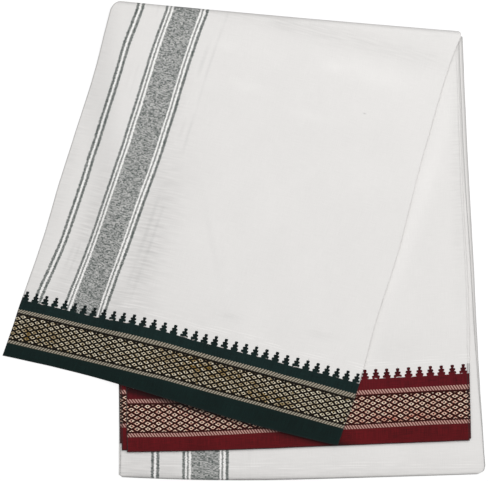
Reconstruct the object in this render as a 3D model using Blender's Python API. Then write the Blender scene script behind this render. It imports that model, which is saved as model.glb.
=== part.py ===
"""A dhoti cloth, folded and laid flat on a surface.

One length of white cotton has a green border along one selvedge and a red border along the other.
Its length is folded into a packet of eight layers as wide as one panel. Its width is folded in
four: it doubles at the bottom at mid-width, and both ends fold over the top to the front. The red
end lies straight on the stack. The green end lies on that, swung to the left, and drapes down to
the surface beside the stack.

Metres, +Z up. The origin is on the surface, under the middle of the folded cloth.
"""
import math
from collections import namedtuple

import bmesh
import bpy
from mathutils import Vector

MM = 0.001

# Thickness, in millimetres: a packet is eight layers of cloth, and the body is two packets
LAYER = 0.225
PACKET = 8 * LAYER
GAP = 0.3
BODY_HEIGHT = 3.8

# Heights of the undersides above the surface, in millimetres
SECOND_REST = BODY_HEIGHT + GAP
TOP_REST = SECOND_REST + PACKET + GAP
STACK_HEIGHT = TOP_REST + PACKET

# Folds, in millimetres
TOP_FOLD_RADIUS = STACK_HEIGHT / 2
BOTTOM_FOLD_RADIUS = BODY_HEIGHT / 2
LIP_LENGTH = 2.0
FOLD_LEFT_CORNER = 4.4
FOLD_RIGHT_CORNER = 1.2
BODY_LEFT_CORNER = 1.5
BODY_RIGHT_CORNER = 7.5

# Where the swung panel leaves the stack: it starts down inside the stack's left edge
DRAPE_START = 8.0
DRAPE_RUN = 32.0

# Leaf edges: how deep the groove is between two leaves, and how far each leaf stands back from the
# outermost one, from the top leaf down, in millimetres
GROOVE = 0.4
EVEN_LEAVES = [0.0, 0.0]
RED_LEFT_LEAVES = [5.2, 1.4, 0.0]
RED_RIGHT_LEAVES = [1.3, 0.0, 0.0]
BODY_LEFT_LEAVES = [1.0, 1.0, 0.0, 0.0]
BODY_RIGHT_LEAVES = [3.4, 2.6, 0.0, 0.0]

# One row is one section across a panel, in millimetres. The bow is how far its middle stands out
# towards the selvedge, and the sway how far its first quarter does, and its last the other way
Section = namedtuple("Section", ["left_x", "left_y", "right_x", "right_y", "bow", "sway"])

# The swung panel, from its green selvedge up to where it rolls over the top fold
TOP_SELVEDGE = 0
TOP_BORDER_LINE = 2
TOP_SECTIONS = [
    Section(left_x=-177.7, left_y=-85.0, right_x=68.8, right_y=-150.9, bow=-0.7, sway=-1.6),
    Section(left_x=-170.3, left_y=-64.5, right_x=76.6, right_y=-128.8, bow=-1.3, sway=-1.1),
    Section(left_x=-163.6, left_y=-43.9, right_x=84.6, right_y=-106.4, bow=-1.9, sway=-0.6),
    Section(left_x=-148.9, left_y=-1.6, right_x=97.5, right_y=-58.3, bow=-0.9, sway=-0.2),
    Section(left_x=-136.3, left_y=40.7, right_x=113.7, right_y=-7.0, bow=0.0, sway=0.0),
    Section(left_x=-122.9, left_y=82.9, right_x=126.8, right_y=44.2, bow=0.0, sway=0.0),
    Section(left_x=-109.6, left_y=125.2, right_x=141.0, right_y=95.5, bow=0.0, sway=0.0),
    Section(left_x=-102.4, left_y=152.7, right_x=151.3, right_y=128.9, bow=0.0, sway=0.0),
    Section(left_x=-97.2, left_y=171.5, right_x=159.4, right_y=148.3, bow=0.0, sway=0.0),
]

# The straight panel, from its red selvedge up to where it ends inside the top fold
SECOND_SELVEDGE = 0
SECOND_BORDER_LINE = 1
SECOND_SECTIONS = [
    Section(left_x=-91.0, left_y=-156.0, right_x=167.6, right_y=-147.3, bow=0.8, sway=0.3),
    Section(left_x=-91.8, left_y=-109.7, right_x=166.4, right_y=-98.8, bow=0.8, sway=0.3),
    Section(left_x=-93.0, left_y=-40.0, right_x=164.8, right_y=-38.0, bow=0.0, sway=0.0),
    Section(left_x=-94.6, left_y=60.0, right_x=160.9, right_y=50.0, bow=0.0, sway=0.0),
    Section(left_x=-96.4, left_y=169.7, right_x=157.8, right_y=147.4, bow=0.0, sway=0.0),
]

# The body, from its bottom fold up to the lip of the swung panel's roll
BODY_SECTIONS = [
    Section(left_x=-92.0, left_y=-171.6, right_x=177.7, right_y=-168.6, bow=2.2, sway=0.6),
    Section(left_x=-91.8, left_y=-148.0, right_x=176.2, right_y=-148.0, bow=0.0, sway=0.0),
    Section(left_x=-92.4, left_y=-73.4, right_x=171.6, right_y=-73.4, bow=0.0, sway=0.0),
    Section(left_x=-93.6, left_y=0.0, right_x=168.0, right_y=0.0, bow=0.0, sway=0.0),
    Section(left_x=-95.0, left_y=88.0, right_x=163.4, right_y=84.0, bow=0.0, sway=0.0),
    Section(left_x=-97.0, left_y=169.1, right_x=160.8, right_y=145.8, bow=0.0, sway=0.0),
]

# How finely the walls are divided
DRAPED_COLUMNS = 34
DRAPED_ROWS = 30
BORDER_ROWS = 6
FLAT_COLUMNS = 12
FLAT_ROWS = 16
FOLD_STEPS = 8

WHITE_COTTON = (0.79, 0.78, 0.76, 1.0)
GREEN_BORDER = (0.016, 0.044, 0.038, 1.0)
RED_BORDER = (0.130, 0.014, 0.020, 1.0)


def clear_scene():
    """Removes what the new file starts with."""
    for thing in list(bpy.data.objects):
        bpy.data.objects.remove(thing, do_unlink=True)


def cotton(name, color):
    """A dull woven cotton of one colour."""
    material = bpy.data.materials.new(name)
    material.use_nodes = True
    material.diffuse_color = color
    shader = material.node_tree.nodes["Principled BSDF"]
    shader.inputs["Base Color"].default_value = color
    shader.inputs["Roughness"].default_value = 0.88
    shader.inputs["Metallic"].default_value = 0.0
    return material


def smooth_between(before, start, end, after, share):
    """A value on the smooth curve through four even stations, share of the way past start."""
    bend_in = (end - before) / 2
    bend_out = (after - start) / 2
    square = share * share
    cube = square * share
    return (
        start * (2 * cube - 3 * square + 1)
        + bend_in * (cube - 2 * square + share)
        + end * (3 * square - 2 * cube)
        + bend_out * (cube - square)
    )


def section_at(sections, station):
    """The section at a station, which may lie between two rows of the table."""
    last = len(sections) - 1
    row = min(int(station), last - 1)
    around = [sections[min(max(row + step, 0), last)] for step in (-1, 0, 1, 2)]
    values = [smooth_between(*column, station - row) for column in zip(*around)]
    return Section(*values)


def shifted(section, distance):
    """A section moved by a distance towards its selvedge side."""
    across_x = section.right_x - section.left_x
    across_y = section.right_y - section.left_y
    width = math.hypot(across_x, across_y)
    move_x = across_y / width * distance
    move_y = -across_x / width * distance
    return Section(
        section.left_x + move_x,
        section.left_y + move_y,
        section.right_x + move_x,
        section.right_y + move_y,
        section.bow,
        section.sway,
    )


def narrowed(section, left_cut, right_cut):
    """A section with a length cut off each of its ends."""
    left = Vector((section.left_x, section.left_y))
    right = Vector((section.right_x, section.right_y))
    run = (right - left).normalized()
    left += run * left_cut
    right -= run * right_cut
    return Section(left.x, left.y, right.x, right.y, section.bow, section.sway)


def spot_across(section, share):
    """The plan point share of the way across a section."""
    left = Vector((section.left_x, section.left_y))
    right = Vector((section.right_x, section.right_y))
    run = right - left
    out = Vector((run.y, -run.x)).normalized()
    bowed = section.bow * 4 * share * (1 - share)
    swayed = section.sway * math.sin(2 * math.pi * share)
    return left + run * share + out * (bowed + swayed)


def stack_left_edge(y):
    """The x of the stack's left edge at a height y of the plan."""
    low = BODY_SECTIONS[0]
    high = BODY_SECTIONS[-1]
    share = (y - low.left_y) / (high.left_y - low.left_y)
    return low.left_x + (high.left_x - low.left_x) * share


def drape_height(spot):
    """The underside of the swung panel: on the stack, down past its left edge, then on the floor."""
    down = stack_left_edge(spot.y) + DRAPE_START - spot.x
    share = min(max(down / DRAPE_RUN, 0.0), 1.0)
    return TOP_REST * (1 + math.cos(math.pi * share)) / 2


def lie_on_surface(spot):
    """The underside of what lies on the surface itself."""
    return 0.0


def lie_on_body(spot):
    """The underside of what lies on the body."""
    return SECOND_REST


def laid(section, rest, thickness):
    """Places a wall's points at one section, lying on what rest gives the height of."""

    def place(share, height):
        spot = spot_across(section, share)
        return Vector((spot.x, spot.y, rest(spot) + height * thickness))

    return place


def rolled_over(section, angle):
    """Places the swung panel's points at one angle of its roll over the top fold."""
    turned = abs(math.sin(angle))
    rounding = 1 - math.sqrt(max(1 - turned * turned, 0.0))
    ring = narrowed(section, FOLD_LEFT_CORNER * rounding, FOLD_RIGHT_CORNER * rounding)

    def place(share, height):
        radius = TOP_FOLD_RADIUS - PACKET + height * PACKET
        spot = spot_across(shifted(ring, -radius * math.sin(angle)), share)
        return Vector((spot.x, spot.y, TOP_FOLD_RADIUS + radius * math.cos(angle)))

    return place


def tucked_under(section):
    """Places the end of the swung panel's lip, flat on the surface under the roll."""
    end = shifted(section, LIP_LENGTH)

    def place(share, height):
        spot = spot_across(end, share)
        return Vector((spot.x, spot.y, PACKET - height * PACKET))

    return place


def doubled_back(section, angle):
    """Places the body's points at one angle of the fold along its bottom edge."""
    turned = math.sin(angle)
    rounding = 1 - math.sqrt(1 - turned * turned)
    ring = narrowed(section, BODY_LEFT_CORNER * rounding, BODY_RIGHT_CORNER * rounding)
    pushed = shifted(ring, BOTTOM_FOLD_RADIUS * turned)

    def place(share, height):
        spot = spot_across(pushed, share)
        rise = (2 * height - 1) * BOTTOM_FOLD_RADIUS * math.cos(angle)
        return Vector((spot.x, spot.y, BOTTOM_FOLD_RADIUS + rise))

    return place


def leaf_edge(insets):
    """The line down a side of layered leaves: inset and height, from the top to the underside."""
    leaves = len(insets)
    line = []
    for leaf, inset in enumerate(insets):
        top = 1 - leaf / leaves
        middle = top - 0.5 / leaves
        line.append((inset + GROOVE, top))
        line.append((inset, middle))
    line.append((insets[-1] + GROOVE, 0.0))
    return line


def outline(width, columns, left_leaves, right_leaves):
    """The outline of a wall's section as shares across and heights: over the top, and under."""
    left = [(inset / width, height) for inset, height in leaf_edge(left_leaves)]
    right = [(1 - inset / width, height) for inset, height in leaf_edge(right_leaves)]
    left_turn = len(left) // 2
    right_turn = len(right) // 2
    flat = [column / columns for column in range(1, columns)]
    top_start, top_end = left[0][0], right[0][0]
    under_start, under_end = left[-1][0], right[-1][0]
    top_flat = [(top_start + (top_end - top_start) * share, 1.0) for share in flat]
    under_flat = [(under_start + (under_end - under_start) * share, 0.0) for share in flat]
    upper = left[left_turn::-1] + top_flat + right[: right_turn + 1]
    lower = left[left_turn + 1 :] + under_flat + right[: right_turn : -1]
    return upper, lower


def wall(name, places, shape, material):
    """A closed wall of cloth through its sections, with its two ends closed flat."""
    upper, lower = shape
    build = bmesh.new()
    rings = []
    for place in places:
        over = [build.verts.new(place(*point) * MM) for point in upper]
        under = [build.verts.new(place(*point) * MM) for point in lower]
        rings.append((over, under))
    loops = [over + under[::-1] for over, under in rings]
    for loop, following in zip(loops, loops[1:]):
        for index, corner in enumerate(loop):
            beside = (index + 1) % len(loop)
            build.faces.new((corner, loop[beside], following[beside], following[index]))
    for over, under in (rings[0], rings[-1]):
        close_end(build, over, under)
    bmesh.ops.recalc_face_normals(build, faces=build.faces)
    mesh = bpy.data.meshes.new(name)
    build.to_mesh(mesh)
    build.free()
    mesh.shade_smooth()
    mesh.set_sharp_from_angle(angle=math.radians(40))
    mesh.materials.append(material)
    piece = bpy.data.objects.new(name, mesh)
    bpy.context.scene.collection.objects.link(piece)
    return piece


def close_end(build, over, under):
    """Closes one end of a wall with a strip of faces between its upper and its lower line."""
    build.faces.new((over[0], over[1], under[0]))
    for index in range(len(under) - 1):
        build.faces.new((over[index + 1], over[index + 2], under[index + 1], under[index]))
    build.faces.new((over[-2], over[-1], under[-1]))


def even_stations(first, last, rows):
    """Stations at even steps from the first to the last."""
    return [first + (last - first) * row / rows for row in range(rows + 1)]


def panel_places(sections, first, last, rows, rest, start_gap=0.0):
    """The sections of a panel between two stations, the first one moved up by the seam's gap."""
    places = []
    for index, station in enumerate(even_stations(first, last, rows)):
        section = section_at(sections, station)
        if index == 0:
            section = shifted(section, -start_gap)
        places.append(laid(section, rest, PACKET))
    return places


def section_width(section):
    """The length of a section across its panel."""
    return math.hypot(section.right_x - section.left_x, section.right_y - section.left_y)


def make_folded_body(material):
    """The two hidden panels, doubled along the bottom edge and layered at both sides."""
    places = []
    for step in range(FOLD_STEPS - 1, 0, -1):
        angle = math.pi / 2 * step / FOLD_STEPS
        places.append(doubled_back(BODY_SECTIONS[0], angle))
    last = len(BODY_SECTIONS) - 1
    for station in even_stations(0, last, FLAT_ROWS):
        places.append(laid(section_at(BODY_SECTIONS, station), lie_on_surface, BODY_HEIGHT))
    width = section_width(BODY_SECTIONS[0])
    shape = outline(width, FLAT_COLUMNS, BODY_LEFT_LEAVES, BODY_RIGHT_LEAVES)
    return wall("folded_body", places, shape, material)


def make_second_panel(material):
    """The white field of the straight panel, above the red border."""
    last = len(SECOND_SECTIONS) - 1
    places = panel_places(
        SECOND_SECTIONS, SECOND_BORDER_LINE, last, FLAT_ROWS, lie_on_body, start_gap=GAP
    )
    width = section_width(SECOND_SECTIONS[SECOND_BORDER_LINE])
    shape = outline(width, FLAT_COLUMNS, RED_LEFT_LEAVES, RED_RIGHT_LEAVES)
    return wall("second_panel", places, shape, material)


def make_red_border(material):
    """The red band along the selvedge of the straight panel."""
    places = panel_places(
        SECOND_SECTIONS, SECOND_SELVEDGE, SECOND_BORDER_LINE, BORDER_ROWS, lie_on_body
    )
    width = section_width(SECOND_SECTIONS[SECOND_SELVEDGE])
    shape = outline(width, FLAT_COLUMNS, RED_LEFT_LEAVES, RED_RIGHT_LEAVES)
    return wall("red_border", places, shape, material)


def make_top_panel(material):
    """The white field of the swung panel, from the green border over the top fold to its lip."""
    last = len(TOP_SECTIONS) - 1
    places = panel_places(
        TOP_SECTIONS, TOP_BORDER_LINE, last, DRAPED_ROWS, drape_height, start_gap=GAP
    )
    crest = TOP_SECTIONS[-1]
    for step in range(1, FOLD_STEPS + 1):
        places.append(rolled_over(crest, math.pi * step / FOLD_STEPS))
    places.append(tucked_under(crest))
    width = section_width(crest)
    shape = outline(width, DRAPED_COLUMNS, EVEN_LEAVES, EVEN_LEAVES)
    return wall("top_panel", places, shape, material)


def make_green_border(material):
    """The green band along the selvedge of the swung panel."""
    places = panel_places(
        TOP_SECTIONS, TOP_SELVEDGE, TOP_BORDER_LINE, BORDER_ROWS, drape_height
    )
    width = section_width(TOP_SECTIONS[TOP_SELVEDGE])
    shape = outline(width, DRAPED_COLUMNS, EVEN_LEAVES, EVEN_LEAVES)
    return wall("green_border", places, shape, material)


def main():
    clear_scene()
    white = cotton("white_cotton", WHITE_COTTON)
    green = cotton("green_border", GREEN_BORDER)
    red = cotton("red_border", RED_BORDER)
    make_folded_body(white)
    make_second_panel(white)
    make_red_border(red)
    make_top_panel(white)
    make_green_border(green)


main()
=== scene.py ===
# %% [markdown]
# # A dhoti, folded and laid on a table
# A dhoti is one long length of white cotton, worn wrapped round the waist. This one has a green
# border along one long edge and a red border along the other, and grey stripes across its end.
# It is folded small, and its two borders are turned to the front, as a shop lays it out for sale.
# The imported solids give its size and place. This lesson dresses them in real folded cloth.

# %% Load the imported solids
import math
from collections import namedtuple
from functools import partial
from types import SimpleNamespace

import bpy
import numpy as np
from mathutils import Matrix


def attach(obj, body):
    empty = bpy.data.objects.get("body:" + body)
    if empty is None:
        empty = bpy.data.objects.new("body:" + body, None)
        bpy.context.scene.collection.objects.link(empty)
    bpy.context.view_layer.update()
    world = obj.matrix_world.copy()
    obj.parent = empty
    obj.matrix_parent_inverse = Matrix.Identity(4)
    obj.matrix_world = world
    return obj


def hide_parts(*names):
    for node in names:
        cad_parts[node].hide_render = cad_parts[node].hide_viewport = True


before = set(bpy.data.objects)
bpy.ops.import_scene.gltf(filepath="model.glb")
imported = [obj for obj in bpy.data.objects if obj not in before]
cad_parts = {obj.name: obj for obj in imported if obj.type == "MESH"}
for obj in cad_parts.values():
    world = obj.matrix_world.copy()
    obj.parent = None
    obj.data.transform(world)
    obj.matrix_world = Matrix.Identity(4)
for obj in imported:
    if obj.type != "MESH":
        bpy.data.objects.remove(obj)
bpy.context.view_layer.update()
MM = 0.001
print("nodes:", sorted(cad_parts))

# %% [markdown]
# ## The camera
# The cloth is seen from straight above. A long lens far away keeps the top of the stack, 8 mm up,
# at nearly the same scale as the table, as in a picture of goods on a copy stand.

# %% Put the camera above the cloth
PIXEL = 0.735 * MM
PICTURE_WIDTH = 488 * PIXEL
CAMERA_DISTANCE = 3.0
CAMERA_SPOT = (0.07 * MM, -0.29 * MM)
CLOTH_LEVEL = 4 * MM
bpy.context.scene.view_settings.view_transform = "Standard"
lens = bpy.data.cameras.new("straight_down")
lens.sensor_width = 36.0
lens.lens = lens.sensor_width * CAMERA_DISTANCE / PICTURE_WIDTH
camera = bpy.data.objects.new("straight_down", lens)
camera.location = (*CAMERA_SPOT, CLOTH_LEVEL + CAMERA_DISTANCE)
bpy.context.scene.collection.objects.link(camera)
bpy.context.scene.camera = camera
print("lens", round(lens.lens, 1), "mm")

# %% [markdown]
# ## Helpers for nodes
# A material is a small network. Two short helpers add a node and join it up, so the recipes below
# read as sums. A value that comes from another node is linked, and a plain number is typed in.

# %% Helpers that add and join nodes
def feed(tree, socket, value):
    """Links a socket to another node's output, or types a plain value into it."""
    if isinstance(value, bpy.types.NodeSocket):
        tree.links.new(value, socket)
    else:
        socket.default_value = value


def add_node(tree, kind, inputs=(), **settings):
    """Adds a node with its settings, and feeds its inputs by name or by number."""
    node = tree.nodes.new(kind)
    for name, value in settings.items():
        setattr(node, name, value)
    for name, value in dict(inputs).items():
        feed(tree, node.inputs[name], value)
    return node


def sums(tree, operation, *values, clamp=False):
    """A math node's result."""
    node = add_node(tree, "ShaderNodeMath", enumerate(values), operation=operation)
    node.use_clamp = clamp
    return node.outputs[0]


def blend_colors(tree, share, first, second, way="MIX"):
    """The colour between two colours."""
    node = tree.nodes.new("ShaderNodeMix")
    node.data_type = "RGBA"
    node.blend_type = way
    feed(tree, node.inputs[0], share)
    feed(tree, node.inputs[6], first)
    feed(tree, node.inputs[7], second)
    return node.outputs[2]


def start_group(name, inputs, outputs):
    """A new node group with named sockets, its inner inputs and outputs, and its own sums."""
    group = bpy.data.node_groups.new(name, "ShaderNodeTree")
    for side, titles in (("INPUT", inputs), ("OUTPUT", outputs)):
        for title in titles:
            group.interface.new_socket(title, in_out=side, socket_type="NodeSocketFloat")
    given = group.nodes.new("NodeGroupInput").outputs
    made = group.nodes.new("NodeGroupOutput").inputs
    return group, given, made, partial(sums, group)


def use_group(tree, group, *values):
    """Puts a node group in a tree, with its inputs in the order that the group names them."""
    return add_node(tree, "ShaderNodeGroup", enumerate(values), node_tree=group).outputs


def printed(red, green, blue):
    """A colour given as 0 to 255 on a screen, turned into light."""
    shares = [value / 255 for value in (red, green, blue)]
    light = [((s + 0.055) / 1.055) ** 2.4 if s > 0.04045 else s / 12.92 for s in shares]
    return (*light, 1.0)

# %% [markdown]
# ## Groups shared by the cloth's materials
# Every piece carries a map named Cloth, in metres: along the cloth from the packet's left edge, and
# up from the base of the border's teeth. So threads, stripes and borders run on from piece to piece.

# %% Thread group: uneven spun yarn both ways
def noise_spot(tree, across, up):
    """Where a noise is read, from two numbers."""
    return add_node(tree, "ShaderNodeCombineXYZ", {"X": across, "Y": up}).outputs[0]


def streaks(tree, across, up, wide, tall, detail=1.0):
    """Noise drawn out into streaks, by its size each way in millimetres."""
    spot = noise_spot(tree, sums(tree, "DIVIDE", across, wide), sums(tree, "DIVIDE", up, tall))
    inputs = {"Vector": spot, "Scale": 1.0, "Detail": detail, "Roughness": 0.5}
    return add_node(tree, "ShaderNodeTexNoise", inputs, noise_dimensions="2D").outputs["Fac"]


def flecks(tree, across, up, wide, tall):
    """A random shade for each short length of yarn, by its size each way in millimetres."""
    pairs = ((across, wide), (up, tall))
    cells = [sums(tree, "FLOOR", sums(tree, "DIVIDE", place, size)) for place, size in pairs]
    inputs = {"Vector": noise_spot(tree, *cells)}
    return add_node(tree, "ShaderNodeTexWhiteNoise", inputs, noise_dimensions="2D").outputs["Value"]


YARN = 0.42
threads, given, made, work = start_group(
    "Cotton threads", ["Across", "Up", "Streak length"], ["Tone", "Height", "Heather", "Weft"]
)
across, up, reach = given["Across"], given["Up"], given["Streak length"]
weft = streaks(threads, across, up, reach, YARN)
warp = streaks(threads, across, up, YARN, reach)
slub_weft = streaks(threads, across, up, 16.0, 0.9)
slub_warp = streaks(threads, across, up, 0.9, 22.0)
clouds = streaks(threads, across, up, 34.0, 46.0, detail=3.0)
both = work("ADD", weft, warp)
slub = work("MULTIPLY_ADD", work("MAXIMUM", slub_weft, slub_warp), 8.0, -5.4, clamp=True)
heather = work("MULTIPLY_ADD", flecks(threads, across, up, 1.1, 0.55), 0.95, 0.13)
heather = work("MULTIPLY_ADD", streaks(threads, across, up, 3.8, 0.7), 0.5, heather)
heather = work("MULTIPLY_ADD", streaks(threads, across, up, 9.0, 3.0), 0.3, heather)
tone = work("MULTIPLY_ADD", both, 0.5, -0.75)
tone = work("MULTIPLY_ADD", clouds, 0.5, tone)
tone = work("MULTIPLY_ADD", slub, 0.12, tone)
for title, value in (("Tone", tone), ("Height", both), ("Heather", heather), ("Weft", weft)):
    feed(threads, made[title], value)
print("thread group:", len(threads.nodes), "nodes")

# %% Line group: one woven line, with soft edges
line_group, given, made, work = start_group(
    "Woven line", ["Place", "Start", "End", "Softness"], ["Mask"]
)
past_start = work("SUBTRACT", given["Place"], given["Start"])
before_end = work("SUBTRACT", given["End"], given["Place"])
rise, fall = [
    work("ADD", work("DIVIDE", room, given["Softness"]), 0.5, clamp=True)
    for room in (past_start, before_end)
]
feed(line_group, made["Mask"], work("MULTIPLY", rise, fall))
print("line group:", len(line_group.nodes), "nodes")

# %% Stripe group: the grey stripes woven across the cloth's end
# Each stripe is where it starts and ends, in millimetres from the packet's edge, and how strong it
# is. The ghosts are stripes of the layer below that show through faintly
STRIPES = {
    "Lines": [
        (15.4, 17.3, 0.88), (19.0, 20.9, 0.88), (36.5, 38.3, 0.85), (39.6, 40.8, 0.75),
        (62.9, 64.1, 0.75), (65.7, 67.7, 0.88),
    ],
    "Wide": [(42.4, 61.6, 0.68)],
    "Cord": [
        (17.5, 18.8, 1.0), (38.5, 39.4, 1.0), (41.0, 42.2, 1.0), (61.8, 62.7, 1.0), (64.3, 65.5, 1.0),
    ],
    "Ghost": [(25.8, 27.6, 1.0), (30.4, 31.8, 1.0), (74.6, 77.2, 1.0), (80.5, 82.5, 1.0)],
}
GHOST_SOFTNESS = 1.6
stripes, given, made, work = start_group("Grey stripes", ["Across", "Up", "Softness"], STRIPES)
across, up = given["Across"], given["Up"]
wander = streaks(stripes, across, up, 2.4, 1.0)
place = work("SUBTRACT", work("MULTIPLY_ADD", wander, 1.3, across), 0.65)
fading = streaks(stripes, across, up, 40.0, 45.0)
fading = work("MULTIPLY_ADD", fading, 6.0, -2.6, clamp=True)
for title, table in STRIPES.items():
    softness = GHOST_SOFTNESS if title == "Ghost" else given["Softness"]
    total = 0.0
    for start, end, strength in table:
        mask = use_group(stripes, line_group, place, start, end, softness)["Mask"]
        total = work("MULTIPLY_ADD", mask, strength, total)
    if title == "Ghost":
        total = work("MULTIPLY", total, fading)
    feed(stripes, made[title], total)
print("stripe group:", len(stripes.nodes), "nodes")

# %% Painted fold shade group: a thin dark line of painted shade along each folded edge
fold_shade_group, given, made, work = start_group("Painted fold shade", ["Distance", "Reach"], ["Mask"])
shares = work("DIVIDE", given["Distance"], given["Reach"])
fading = work("MULTIPLY", work("MULTIPLY", shares, shares), -1.0)
feed(fold_shade_group, made["Mask"], work("EXPONENT", fading))
print("edge group:", len(fold_shade_group.nodes), "nodes")

# %% Soft patch group: one soft place, lighter or darker than the cloth round it
patch_group, given, made, work = start_group(
    "Soft patch",
    ["Across", "Up", "Middle across", "Middle up", "Half width", "Half height", "Lean"],
    ["Mask"],
)
rise = work("SUBTRACT", given["Up"], given["Middle up"])
aside = work("SUBTRACT", given["Across"], given["Middle across"])
aside = work("SUBTRACT", aside, work("MULTIPLY", rise, given["Lean"]))
aside = work("DIVIDE", aside, given["Half width"])
rise = work("DIVIDE", rise, given["Half height"])
square = work("MULTIPLY_ADD", rise, rise, work("MULTIPLY", aside, aside))
feed(patch_group, made["Mask"], work("EXPONENT", work("MULTIPLY", square, -1.0)))
print("patch group:", len(patch_group.nodes), "nodes")

# %% [markdown]
# ## Groups for the borders
# A dhoti's border is woven with extra threads: a row of stepped temple teeth, two tan lines of
# twill, and a band of small diamonds set in half-drop. Each is a short sum of sawtooth waves.

# %% Teeth group: a row of stepped temple teeth
# Half the tooth's width at each height, as a share of its widest half width. Each step narrows
# towards its top, so the tooth has the outline of a small fir tree
TOOTH_STEPS = [
    (0.0, 0.84), (0.10, 1.0), (0.235, 0.98), (0.295, 0.54), (0.345, 0.54), (0.38, 0.76), (0.53, 0.72),
    (0.575, 0.30), (0.625, 0.30), (0.66, 0.44), (0.85, 0.42), (0.87, 0.0),
]
TOOTH_RANGE = 8.0
teeth_group, given, made, work = start_group(
    "Temple teeth", ["Along", "Up", "Pitch", "Widest"], ["Mask", "Base line"]
)
along, up = given["Along"], given["Up"]
turns = work("DIVIDE", along, given["Pitch"])
number = work("ROUND", turns)
beside = work("ABSOLUTE", work("SUBTRACT", turns, number))
beside = work("MULTIPLY", beside, given["Pitch"])
dice = add_node(teeth_group, "ShaderNodeTexWhiteNoise", {"W": number}, noise_dimensions="1D")
height = work("MULTIPLY_ADD", dice.outputs["Value"], 0.5, up)
height = work("DIVIDE", work("SUBTRACT", height, 0.25), TOOTH_RANGE)
profile = add_node(teeth_group, "ShaderNodeValToRGB", {"Fac": height})
steps = profile.color_ramp.elements
steps[1].color = (0, 0, 0, 1)
for place, share in TOOTH_STEPS:
    step = steps.new(place) if place else steps[0]
    step.color = (share, share, share, 1)
half_width = work("MULTIPLY", profile.outputs["Color"], given["Widest"])
room = work("SUBTRACT", half_width, beside)
room = work("MULTIPLY_ADD", streaks(teeth_group, along, up, 0.8, 0.5), 0.5, room)
inside = work("MULTIPLY_ADD", work("SUBTRACT", room, 0.25), 7.0, 0.5, clamp=True)
below = work("MULTIPLY_ADD", up, -5.0, 0.5, clamp=True)
feed(teeth_group, made["Mask"], work("MAXIMUM", inside, below))
waver = work("MULTIPLY_ADD", streaks(teeth_group, along, up, 4.0, 40.0), 1.6, up)
line = use_group(teeth_group, line_group, waver, 0.75, 1.2, 0.25)["Mask"]
patchy = streaks(teeth_group, along, up, 6.0, 30.0)
patchy = work("MULTIPLY_ADD", patchy, 8.0, -4.2, clamp=True)
feed(teeth_group, made["Base line"], work("MULTIPLY", line, patchy))
print("teeth group:", len(teeth_group.nodes), "nodes")

# %% Twill group: a tan line of slanting stitches
twill_group, given, made, work = start_group(
    "Twill line", ["Along", "Up", "Start", "End", "Pitch", "Lean"], ["Mask", "Thread"]
)
slant = work("MULTIPLY_ADD", given["Up"], given["Lean"], given["Along"])
saw = work("FRACT", work("DIVIDE", slant, given["Pitch"]))
wave = work("ABSOLUTE", work("SUBTRACT", saw, 0.5))
serration = work("MULTIPLY_ADD", wave, 0.7, given["Up"])
line = use_group(twill_group, line_group, serration, given["Start"], given["End"], 0.25)["Mask"]
feed(twill_group, made["Mask"], line)
feed(twill_group, made["Thread"], work("MULTIPLY_ADD", wave, -7.0, 2.0, clamp=True))
print("twill group:", len(twill_group.nodes), "nodes")

# %% Diamond group: pale rings with a dark seed, in half-drop
# Each figure's half width and half height, in half repeats, and how sharp its edge is
DIAMONDS = {"Ring": (0.55, 0.63, 7.0), "Seed": (0.28, 0.39, 5.0)}
diamond_group, given, made, work = start_group(
    "Diamond lattice", ["Along", "Up", "Pitch", "Row"], DIAMONDS
)
halves = []
for place, size in (("Along", "Pitch"), ("Up", "Row")):
    turns = work("DIVIDE", given[place], given[size])
    away = work("SUBTRACT", turns, work("ROUND", turns))
    halves.append(work("MULTIPLY", work("ABSOLUTE", away), 2.0))
dropped = work("GREATER_THAN", work("ADD", *halves), 1.0)
beside, above = [work("ABSOLUTE", work("SUBTRACT", dropped, half)) for half in halves]
grain = streaks(diamond_group, given["Along"], given["Up"], 0.7, 0.5)
for title, (half_width, half_height, sharpness) in DIAMONDS.items():
    size = work("DIVIDE", beside, half_width)
    size = work("ADD", size, work("DIVIDE", above, half_height))
    size = work("MULTIPLY_ADD", grain, 0.6, size)
    mask = work("MULTIPLY_ADD", size, -sharpness, 0.5 + 1.3 * sharpness, clamp=True)
    feed(diamond_group, made[title], mask)
print("diamond group:", len(diamond_group.nodes), "nodes")

# %% [markdown]
# ## The materials
# Undyed cotton is a warm white. The stripes mix grey and white yarn, so they look heathered. A
# border is a colour of its own with tan figures, so it has the white cotton's recipe and a border
# laid over it wherever the Cloth map is below the base of the teeth.

# %% White field recipe
WHITE = printed(232, 230, 228)
GREY_YARN = printed(88, 95, 92)
CORD_WHITE = printed(250, 249, 247)
BASE_THREAD = printed(214, 206, 202)
DEEP_SHADE = printed(8, 5, 5)
CORD_LINES = ((9.6, 10.1), (11.3, 11.9), (13.6, 14.0))
TWILL_PITCH = 2.1
STRIPE_SOFTNESS = 0.5
GHOST_STRENGTH = 0.08
FINISH = {"Specular IOR Level": 0.18, "Sheen Weight": 0.08, "Sheen Roughness": 0.5}


def cloth_places(tree, title):
    """A cloth map's two directions, in millimetres."""
    spot = add_node(tree, "ShaderNodeUVMap", uv_map=title).outputs["UV"]
    parts = add_node(tree, "ShaderNodeSeparateXYZ", {"Vector": spot}).outputs
    return [sums(tree, "MULTIPLY", parts[name], 1000.0) for name in ("X", "Y")]


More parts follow.
